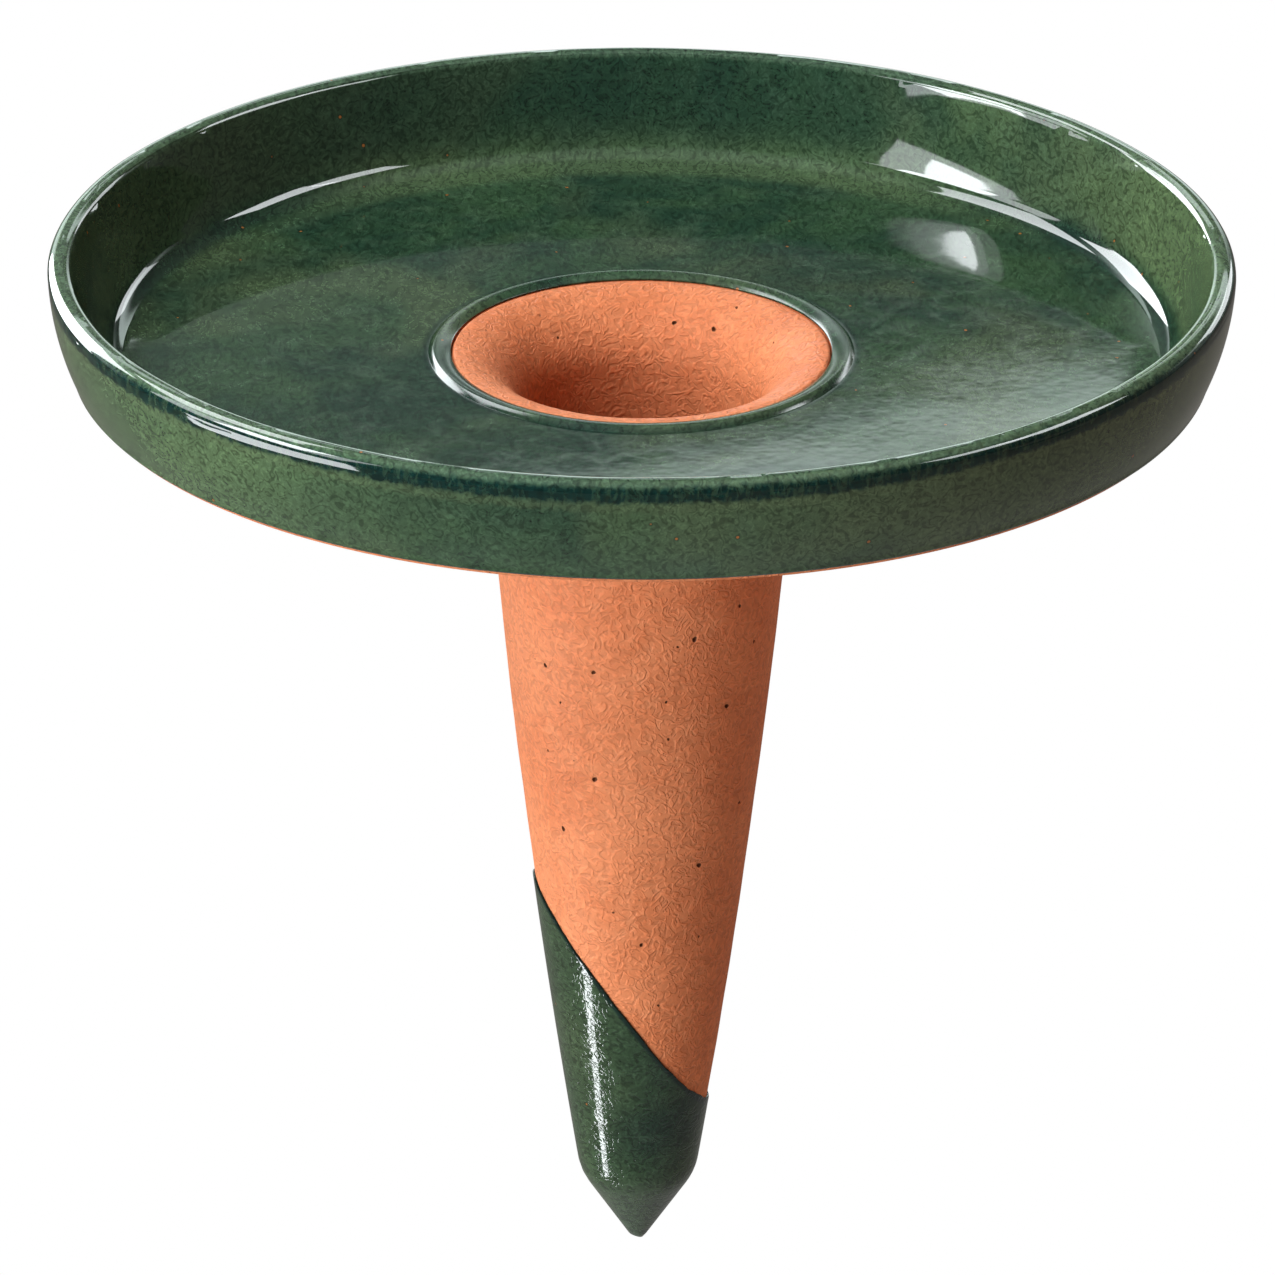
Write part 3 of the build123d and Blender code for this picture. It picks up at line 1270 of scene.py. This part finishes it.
    def glaze_coat(self) -> bpy.types.Object:
        """Makes the glaze over the dish, slightly uneven from the potter's hand.

        Returns:
            The piece.
        """
        section, count = self.glaze_section()
        skin = Skin(turned(section, self.segments), loops=True)
        outer = (np.arange(len(section)) < count)[:, None]
        wall = np.clip((section[:, 0] - self.foot_radius) / self.hand_reach, 0.0, 1.0)[:, None]
        hand = sum(one.over(skin.places) for one in self.hand)
        share = self.floor_hand + (1.0 - self.floor_hand) * wall
        skin.push(outer * (hand * share - self.hand_sunk * wall))
        bands = DishBands(
            rim_radius=self.rim_radius,
            rim_height=self.rim_height,
            floor_height=self.floor_height + self.glaze,
            cove_radius=self.foot_radius,
            collar_radius=self.collar_radius,
            edge_height=self.edge_height,
        )
        finish = GreenGlaze("green_glaze_dish", bands)
        return piece("dish_glaze_coat", skin, [finish.material()], Body.DISH, "dish_glaze")


@dataclass
class Seal:
    """The soft ring on the socket's ledge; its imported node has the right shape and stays."""

    def dress(self, finish: SoftSeal) -> None:
        """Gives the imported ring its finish.

        Args:
            finish: The finish.
        """
        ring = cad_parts["seat_seal"]
        ring.data.materials.clear()
        ring.data.materials.append(finish.material())
        log.info("seat_seal keeps its packed mesh")


# Pinholes that the photograph shows in the shaft: degrees round the axis, mm up from the soil, mm of radius
SHAFT_HOLES = (
    (-67, -42.5, 0.48), (-133, -50.5, 0.40), (-109, -49, 0.40), (-49, -59, 0.45), (-111, -72, 0.50),
    (-131, -85, 0.45), (-58, -92.5, 0.48), (-89, -108, 0.36), (-74, -43, 0.25), (-35, -47.5, 0.30),
    (-46, -37.5, 0.34), (-79, -55.5, 0.24), (-77, -63, 0.26), (-81, -66.5, 0.30), (-33, -82, 0.30),
    (-127, -57, 0.22), (-136, -69, 0.22), (-78, -121.5, 0.26), (-104, -101, 0.22), (-54, -108, 0.24),
)
# And in the mouth: degrees round the axis, mm from the axis, mm of radius, mm of depth
MOUTH_HOLES = ((76, 25.3, 0.4, 0.5), (57, 25.4, 0.45, 0.6))


@dataclass
class Spike:
    """The hollow spike: clay with a trumpet mouth and a well, and a glazed tip with a slanting edge."""

    head_radius: float = 35.2 * MM
    lip_height: float = 5.6 * MM
    shoulder_height: float = 0.6 * MM
    lip_round: float = 0.6 * MM
    shaft_radius: float = 30.1 * MM
    shaft_length: float = 162.3 * MM
    shaft_swell: float = 1.8 * MM
    point_radius: float = 11.3 * MM
    point_round: float = 12.0 * MM
    point_half_angle: float = math.radians(33)
    nose_round: float = 1.5 * MM
    neck_wall: float = 8.0 * MM
    well_swell: float = 2.4 * MM
    end_inset: float = 2.8 * MM
    well_stop: float = 12.0 * MM
    coat: float = 0.35 * MM
    dip_depth: float = 130.5 * MM
    dip_tilt: float = math.radians(54.9)
    dip_bearing: float = math.radians(4)
    dip_waves: tuple[tuple[float, int, float], ...] = (  # height, number round the spike, start
        (0.25 * MM, 5, 1.0),
        (0.12 * MM, 13, 0.0),
        (0.06 * MM, 31, 2.0),
    )
    hand: tuple[Ripple, ...] = (Ripple(0.05 * MM, 40 * MM, 7), Ripple(0.02 * MM, 14 * MM, 8))
    hand_sunk: float = 0.08 * MM
    hand_fade: int = 9  # rows
    step: tuple[float, float] = (1.15 * MM, math.radians(7))
    hole_seed: int = 11
    shape_seed: int = 5
    hole_radii: tuple[float, ...] = (0.2, 0.25, 0.3, 0.36, 0.45)  # mm; the mouth has the first three
    hole_depth: float = 1.4  # in radii
    shaft_holes: int = 34
    mouth_holes: int = 12
    shaft_bearings: tuple[float, float] = (-0.12, math.pi + 0.12)  # the side that isn't seen
    shaft_range: tuple[float, float] = (-150, -4)  # mm above the underside
    mouth_range: tuple[float, float] = (23, 34)  # mm from the axis
    dip_margin: float = 2.5 * MM  # between the glaze and a pinhole
    edge_rows: int = 8
    inner_rows: int = 16
    outer_rows: int = 46
    outer_crowding: float = 1.2
    segments: int = 256

    def __post_init__(self) -> None:
        """Works out the places that the sections share."""
        self.point_height = self.shoulder_height - self.shaft_length
        bow_radius = (self.shaft_radius + self.point_radius) / 2 + 2 * self.shaft_swell
        bow_height = (self.shoulder_height + self.point_height) / 2
        self.bow = (bow_radius, bow_height)
        self.shaft_lean = math.atan2(bow_radius - self.point_radius, bow_height - self.point_height)
        tilt = Matrix.Rotation(self.dip_bearing, 3, "Z") @ Matrix.Rotation(self.dip_tilt, 3, "Y")
        self.dip_normal = tilt @ Vector((0.0, 0.0, 1.0))
        self.dip_place = Vector((0.0, 0.0, self.shoulder_height - self.dip_depth))

    @staticmethod
    def _out(lean: float) -> np.ndarray:
        """Gives the direction out of a side that leans in, going down, by an angle from upright."""
        return np.array([math.cos(lean), -math.sin(lean)])

    def side(self) -> Outline:
        """Draws the side from the nose up to under the head.

        Returns:
            The outline so far.
        """
        shaft_end = np.array([self.point_radius, self.point_height])
        centre = shaft_end - self._out(self.shaft_lean) * self.point_round
        turn_end = centre + self._out(self.point_half_angle) * self.point_round
        apex = turn_end[1] - turn_end[0] / math.tan(self.point_half_angle)
        nose = np.array([0.0, apex + self.nose_round / math.sin(self.point_half_angle)])
        outline = Outline(0.0, nose[1] - self.nose_round)
        outline.arc(tuple(nose), math.pi / 2 - self.point_half_angle)
        outline.line(*turn_end)
        outline.arc(tuple(centre), self.point_half_angle - self.shaft_lean)
        outline.curve(self.bow, (self.shaft_radius, self.shoulder_height), mark=Stretch.SHAFT)
        return outline

    def clay_section(self) -> tuple[np.ndarray, list[Stretch]]:
        """Gives the clay's section from the nose over the lip down to the well's end.

        Returns:
            Its places, and the stretch that each is on.
        """
        throat_radius = self.shaft_radius - self.neck_wall
        throat_height = self.lip_height - (self.head_radius - throat_radius)
        end_radius = self.point_radius - self.end_inset
        end_height = self.point_height + self.well_stop
        bow = (throat_radius + end_radius) / 2 + 2 * self.well_swell, (throat_height + end_height) / 2
        lean = math.atan2(bow[0] - end_radius, bow[1] - end_height)
        reach = end_radius / math.cos(lean)
        mouth = self.head_radius - throat_radius
        outline = self.side()
        outline.line(self.head_radius, self.shoulder_height)
        outline.line(self.head_radius, self.lip_height, self.lip_round)
        outline.bow(throat_radius, throat_height, mouth * (1 - math.sqrt(0.5)), self.lip_round, Stretch.MOUTH)
        outline.curve(bow, (end_radius, end_height), mark=Stretch.WELL)
        outline.arc((0.0, end_height + reach * math.sin(lean)), lean - math.pi / 2, Stretch.WELL)
        path, marks = outline.path()
        kept = thinned(path, *self.step)
        section = path[kept]
        section[0, 0] = section[-1, 0] = 0.0
        return section, [marks[number] for number in kept]

    def pinholes(self) -> list[tuple[Stretch, Pinhole]]:
        """Gives the pinholes, as the photograph has them in front and scattered elsewhere.

        Returns:
            The stretch that each is on, and the pinhole.
        """
        holes = [(Stretch.SHAFT, *hole, hole[-1] * self.hole_depth) for hole in SHAFT_HOLES]
        holes += [(Stretch.MOUTH, *hole) for hole in MOUTH_HOLES]
        scattered = (
            (Stretch.SHAFT, self.shaft_holes, self.hole_radii, self.shaft_bearings, self.shaft_range),
            (Stretch.MOUTH, self.mouth_holes, self.hole_radii[:3], (0.0, WHOLE_TURN), self.mouth_range),
        )
        draw = np.random.default_rng(self.hole_seed)
        for mark, count, radii, bearings, places in scattered:
            for _ in range(count):
                radius = draw.choice(radii)
                bearing = math.degrees(draw.uniform(*bearings))
                holes.append((mark, bearing, draw.uniform(*places), radius, radius * self.hole_depth))
        return [
            (mark, Pinhole(math.radians(bearing), *(size * MM for size in sizes)))
            for mark, bearing, *sizes in holes
        ]

    def _press(self, skin: Skin, section: np.ndarray, marks: list[Stretch]) -> int:
        """Presses the pinholes into the clay, clear of the tip's glaze.

        Args:
            skin: The clay's surface.
            section: Its section.
            marks: The stretch that each place of the section is on.

        Returns:
            How many there was room for.
        """
        draw = np.random.default_rng(self.shape_seed)
        made = 0
        for mark, hole in self.pinholes():
            rows = np.array([number for number, one in enumerate(marks) if one is mark])
            measure = section[rows, 1 if mark is Stretch.SHAFT else 0]
            row = int(rows[np.argmin(np.abs(measure - hole.place))])
            column = round(hole.bearing / WHOLE_TURN * self.segments) % self.segments
            height = (Vector(skin.places[row, column]) - self.dip_place).dot(self.dip_normal)
            if mark is Stretch.MOUTH or height >= self.dip_margin:
                made += skin.press(row, column, hole, draw)
        return made

    def clay(self, finish: Terracotta, inside: Terracotta) -> bpy.types.Object:
        """Makes the clay of the spike, with its pinholes.

        Args:
            finish: The clay's finish.
            inside: The finish in the pinholes: the clay darkened as painted shadow.

        Returns:
            The piece.
        """
        section, marks = self.clay_section()
        skin = Skin(turned(section, self.segments))
        hand = sum(one.over(skin.places) for one in self.hand) - self.hand_sunk
        free = np.array([mark is not Stretch.OTHER for mark in marks])
        fade = np.convolve(free, np.ones(self.hand_fade) / self.hand_fade, mode="same") * free
        skin.push(fade[:, None] * hand)
        log.info("%d pinholes", self._press(skin, section, marks))
        materials = [finish.material(), inside.material()]
        return piece("spike_clay", skin, materials, Body.SPIKE, "spike_body")

    def tip_coat(self) -> bpy.types.Object:
        """Makes the glaze on the tip, with a rounded edge along the slanting line of the dip.

        Returns:
            The piece.
        """
        path = self.side().path()[0][::-1]
        radii, heights = path.T
        out = -outward(path)
        along = lengths_along(path)
        angles = np.linspace(0.0, WHOLE_TURN, self.segments, endpoint=False)
        round_ways = np.column_stack((np.cos(angles), np.sin(angles)))
        across = round_ways @ np.array(self.dip_normal)[:2]
        above = np.outer(across, radii) + self.dip_normal.z * (heights - self.dip_place.z)
        edge = along[np.argmax(above < 0.0, axis=1)]
        edge = edge + sum(height * np.sin(count * angles + start) for height, count, start in self.dip_waves)
        rows = []
        for start, share, lift in self._coat_rows():
            reach = edge + start + (along[-1] - edge - start) * share
            radius = np.interp(reach, along, radii) + np.interp(reach, along, out[:, 0]) * lift
            height = np.interp(reach, along, heights) + np.interp(reach, along, out[:, 1]) * lift
            rows.append(np.column_stack((radius[:, None] * round_ways, height)))
        skin = Skin(np.array(rows[::-1]))
        bands = TipBands(self.dip_place, self.dip_normal, self.point_height)
        finish = GreenGlaze("green_glaze_tip", bands, stroke_relief=0.022 * MM, shade=0.74)
        return piece("tip_glaze_coat", skin, [finish.material()], Body.SPIKE, "tip_glaze")

    def _coat_rows(self) -> list[tuple[float, float, float]]:
        """Gives the coat's rows: up its inner skin, round its edge, and down its outer skin to the tip.

        Returns:
            Each row's distance from the edge, its share of the way on to the tip, and its lift off the clay.
        """
        rows = [(0.0, 1.0 - one / self.inner_rows, 0.0) for one in range(self.inner_rows)]
        for angle in np.linspace(0.0, math.pi / 2, self.edge_rows):
            rows.append((self.coat * (1.0 - math.cos(angle)), 0.0, self.coat * math.sin(angle)))
        for one in range(1, self.outer_rows + 1):
            rows.append((self.coat, (one / self.outer_rows) ** self.outer_crowding, self.coat))
        return rows


# Camera, floor and lights


@dataclass
class Viewpoint:
    """The camera, where the photograph was taken from."""

    distance: float = 1.6261
    height: float = 0.6721
    side: float = -0.0005
    pitch: float = 0.4194
    roll: float = 0.004
    lens: float = 266.8
    sensor: float = 36.0
    clip_end: float = 100.0

    def place(self) -> None:
        """Makes the camera and gives the scene its view."""
        data = bpy.data.cameras.new("viewpoint")
        data.lens = self.lens
        data.sensor_width = self.sensor
        data.sensor_fit = "HORIZONTAL"
        data.clip_end = self.clip_end
        camera = bpy.data.objects.new("viewpoint", data)
        ahead = Vector((0.0, math.cos(self.pitch), -math.sin(self.pitch)))
        level = Vector((1.0, 0.0, 0.0))
        up = level.cross(ahead)
        right = level * math.cos(self.roll) + up * math.sin(self.roll)
        top = up * math.cos(self.roll) - level * math.sin(self.roll)
        turn = Matrix((right, top, -ahead)).transposed().to_4x4()
        camera.matrix_world = Matrix.Translation((self.side, -self.distance, self.height)) @ turn
        bpy.context.scene.collection.objects.link(camera)
        bpy.context.scene.camera = camera


@dataclass(frozen=True)
class SoftBox:
    """A soft light: the part of the room that it fills as the object sees it, and its strength."""

    name: str
    bearings: tuple[float, float]  # degrees from the camera's side, to the right if more than zero
    rises: tuple[float, float]  # degrees above level
    radiance: float
    tint: Colour = (0.93, 0.97, 1.0)
    mirrors: int = 1  # that it's seen by way of; a lamp with none lights the object and isn't mirrored
    distance: float = 2.4

    def place(self, aim: Vector, pieces: Pieces = ()) -> None:
        """Makes the light, facing a place.

        Args:
            aim: The place that it faces and that its angles are seen from.
            pieces: The pieces that it's kept to, if any.
        """
        bearing = math.radians(sum(self.bearings) / 2)
        rise = math.radians(sum(self.rises) / 2)
        across = math.radians(self.bearings[1] - self.bearings[0]) * math.cos(rise)
        upward = math.radians(self.rises[1] - self.rises[0])
        data = bpy.data.lights.new(self.name, "AREA")
        data.shape = "RECTANGLE"
        data.size = 2 * self.distance * math.tan(across / 2)
        data.size_y = 2 * self.distance * math.tan(upward / 2)
        data.energy = self.radiance * math.pi * data.size * data.size_y
        data.color = self.tint
        light = bpy.data.objects.new(self.name, data)
        level = Vector((math.sin(bearing), -math.cos(bearing), 0.0)) * math.cos(rise)
        way = level + Vector((0.0, 0.0, math.sin(rise)))
        light.location = aim + way * self.distance
        light.rotation_euler = way.to_track_quat("Z", "Y").to_euler()
        light.visible_camera = False
        light.visible_glossy = self.mirrors > 0
        light.visible_diffuse = self.mirrors == 0
        if self.mirrors > 0:
            self._mirrored(data)
        bpy.context.scene.collection.objects.link(light)
        if pieces:
            group = bpy.data.collections.new(self.name)
            for one in pieces:
                group.objects.link(one)
            light.light_linking.receiver_collection = group

    def _mirrored(self, data: bpy.types.Light) -> None:
        """Shows the light after its number of mirror images and not after more.

        Args:
            data: The light's data.
        """
        data.use_nodes = True
        desk = Desk(data.node_tree)
        depth = desk.put("LightPath").outputs["Ray Depth"]
        late = desk.math("GREATER_THAN", depth, self.mirrors + 0.5)
        seen = desk.times(desk.math("LESS_THAN", depth, self.mirrors + 1.5), late)
        glow = desk.put("Emission", None, Strength=seen)
        desk.put("OutputLight", None, Surface=glow.outputs[0])


@dataclass(frozen=True)
class Room:
    """The room that the glaze mirrors: grey, with a bright horizon and a sheen behind, and light overhead."""

    to_camera: Colour = (1.0, 1.0, 1.0)
    to_gloss: Colour = (0.86, 1.0, 0.97)
    to_matt: Colour = (1.0, 0.84, 0.72)
    grey: Span = (-0.3, 0.5, 0.07, 0.10)
    horizon: float = 1.9
    horizon_low: Span = (-0.10, 0.02)
    horizon_high: Span = (0.18, 0.30, 1.0, 0.0)
    horizon_back: Span = (0.25, 0.75)
    horizon_right: Span = (0.20, 0.36, 1.0, 0.12)
    sheen: float = 2.2
    sheen_slope: float = 0.235
    sheen_low: Span = (0.3905, 0.3945)
    sheen_high: Span = (0.43, 0.50, 1.0, 0.0)
    sheen_back: Span = (0.4, 0.8)
    glow_left: Span = (0.03, -0.06, 0.0, 0.14)
    overhead: Span = (0.75, 0.97, 0.0, 0.4)

    def strength(self, desk: Desk) -> Socket:
        """Gives the room's strength in each direction.

        Args:
            desk: The world's nodes.

        Returns:
            The strength.
        """
        right, back, up = desk.axes(desk.put("TexCoord").outputs["Generated"])
        level = desk.times(desk.span(up, *self.horizon_low), desk.span(up, *self.horizon_high))
        there = desk.times(desk.span(back, *self.horizon_back), desk.span(right, *self.horizon_right))
        slant = desk.plus(up, desk.times(right, self.sheen_slope))
        sheen = desk.times(desk.span(slant, *self.sheen_low), desk.span(slant, *self.sheen_high))
        behind = desk.span(back, *self.sheen_back)
        return desk.plus(
            desk.span(back, *self.grey),
            desk.times(level, there, self.horizon),
            desk.times(sheen, behind, self.sheen),
            desk.times(desk.span(right, *self.glow_left), behind),
            desk.span(up, *self.overhead),
        )

    def build(self) -> None:
        """Makes the world: white to the camera, and the room to the object."""
        world = bpy.data.worlds.new("studio")
        bpy.context.scene.world = world
        world.use_nodes = True
        desk = Desk(world.node_tree)
        path = desk.put("LightPath")
        tint = desk.mix(path.outputs["Is Diffuse Ray"], self.to_gloss, self.to_matt)
        room = desk.put("Background", None, Color=tint, Strength=self.strength(desk))
        white = desk.put("Background", None, Color=self.to_camera, Strength=1.0)
        desk.white_to_camera("OutputWorld", path, room.outputs[0], white.outputs[0])


@dataclass
class Studio:
    """The plain pale floor, the room round it and the soft lights."""

    floor_height: float = -3.2
    floor_size: float = 40.0
    floor_grey: Colour = (0.6, 0.6, 0.6)
    room: Room = Room()
    aim: Vector = field(default_factory=lambda: Vector((0.0, 0.0, 0.015)))
    tip: Vector = field(default_factory=lambda: Vector((-0.012, -0.006, -0.122)))
    lamps: tuple[SoftBox, ...] = (
        SoftBox("left_key", (-72, -28), (-22, 20), 7.4, (0.93, 1.08, 1.16), mirrors=0),
        SoftBox("top_left", (-100, -30), (38, 76), 9.6, (0.93, 1.05, 1.11), mirrors=0),
        SoftBox("right_fill", (50, 110), (-25, 15), 1.05, (1.0, 0.74, 0.52), mirrors=0),
    )
    dish_boxes: tuple[SoftBox, ...] = (
        SoftBox("left_strip", (-92, -54), (-22, -6), 11.0),
        SoftBox("left_panel", (-106, -54), (15, 38), 5.6),
        SoftBox("left_core", (-88, -65), (17, 38), 16.0),
        SoftBox("floor_haze", (-106, -54), (43, 54), 4.5, mirrors=2),
        SoftBox("floor_glow", (-101, -62), (44, 53), 6.0, mirrors=2),
        SoftBox("floor_core", (-98, -77), (46, 51), 50.0, mirrors=2),
        SoftBox("left_high", (-150, -104), (38, 58), 9.0),
        SoftBox("left_back", (-156, -122), (-8, 32), 11.0),
        SoftBox("right_panel", (82, 110), (27, 42), 10.0),
        SoftBox("right_front", (62, 84), (30, 44), 9.0),
        SoftBox("right_back", (132, 156), (4, 20), 4.0),
    )
    clay_boxes: tuple[SoftBox, ...] = (
        SoftBox("clay_side", (-120, -50), (-35, 15), 3.0),
        SoftBox("clay_back", (-178, -120), (0, 40), 9.5),
    )
    tip_box: SoftBox = SoftBox("tip_strip", (-75, -64), (-52, -32), 17.0, distance=0.34)

    def floor(self) -> None:
        """Lays the floor, which is white to the camera and far below the tip."""
        half = self.floor_size / 2
        mesh = bpy.data.meshes.new("floor")
        corners = [(-half, -half), (half, -half), (half, half), (-half, half)]
        mesh.from_pydata([(x, y, self.floor_height) for x, y in corners], [], [(0, 1, 2, 3)])
        floor = bpy.data.objects.new("floor", mesh)
        material, desk = fresh_material("pale_floor")
        path = desk.put("LightPath")
        plain = desk.put("BsdfDiffuse", None, Color=self.floor_grey)
        white = desk.put("Emission", None, Color=self.room.to_camera, Strength=1.0)
        desk.white_to_camera("OutputMaterial", path, plain.outputs[0], white.outputs[0])
        mesh.materials.append(material)
        bpy.context.scene.collection.objects.link(floor)

    def light(self, dish_glaze: Pieces, tip_glaze: Pieces, clays: Pieces) -> None:
        """Makes the floor, the room and the lights.

        Args:
            dish_glaze: The glaze that the large boxes are mirrored in.
            tip_glaze: The glaze that the narrow strip beside the tip is mirrored in.
            clays: The bare clay pieces, which only show broad highlights.
        """
        self.floor()
        self.room.build()
        groups = ((self.lamps, ()), (self.dish_boxes, dish_glaze), (self.clay_boxes, clays))
        for boxes, pieces in groups:
            for box in boxes:
                box.place(self.aim, pieces)
        self.tip_box.place(self.tip, tip_glaze)


def main() -> None:
    """Builds the camera, the studio and every piece."""
    logging.basicConfig(level=logging.INFO, format="%(name)s: %(message)s")
    bpy.context.scene.view_settings.view_transform = "Standard"
    Viewpoint().place()
    clay = Terracotta()
    dish = Dish()
    dish_clay = dish.clay(clay)
    dish_glaze = dish.glaze_coat()
    Seal().dress(SoftSeal())
    spike = Spike()
    # the pinholes' inner faces get the clay darkened as painted shadow
    spike_clay = spike.clay(clay, Terracotta(name="pinhole_painted_shadow", shade=0.22))
    Studio().light((dish_glaze,), (spike.tip_coat(),), (dish_clay, spike_clay))


if __name__ == "__main__":
    main()
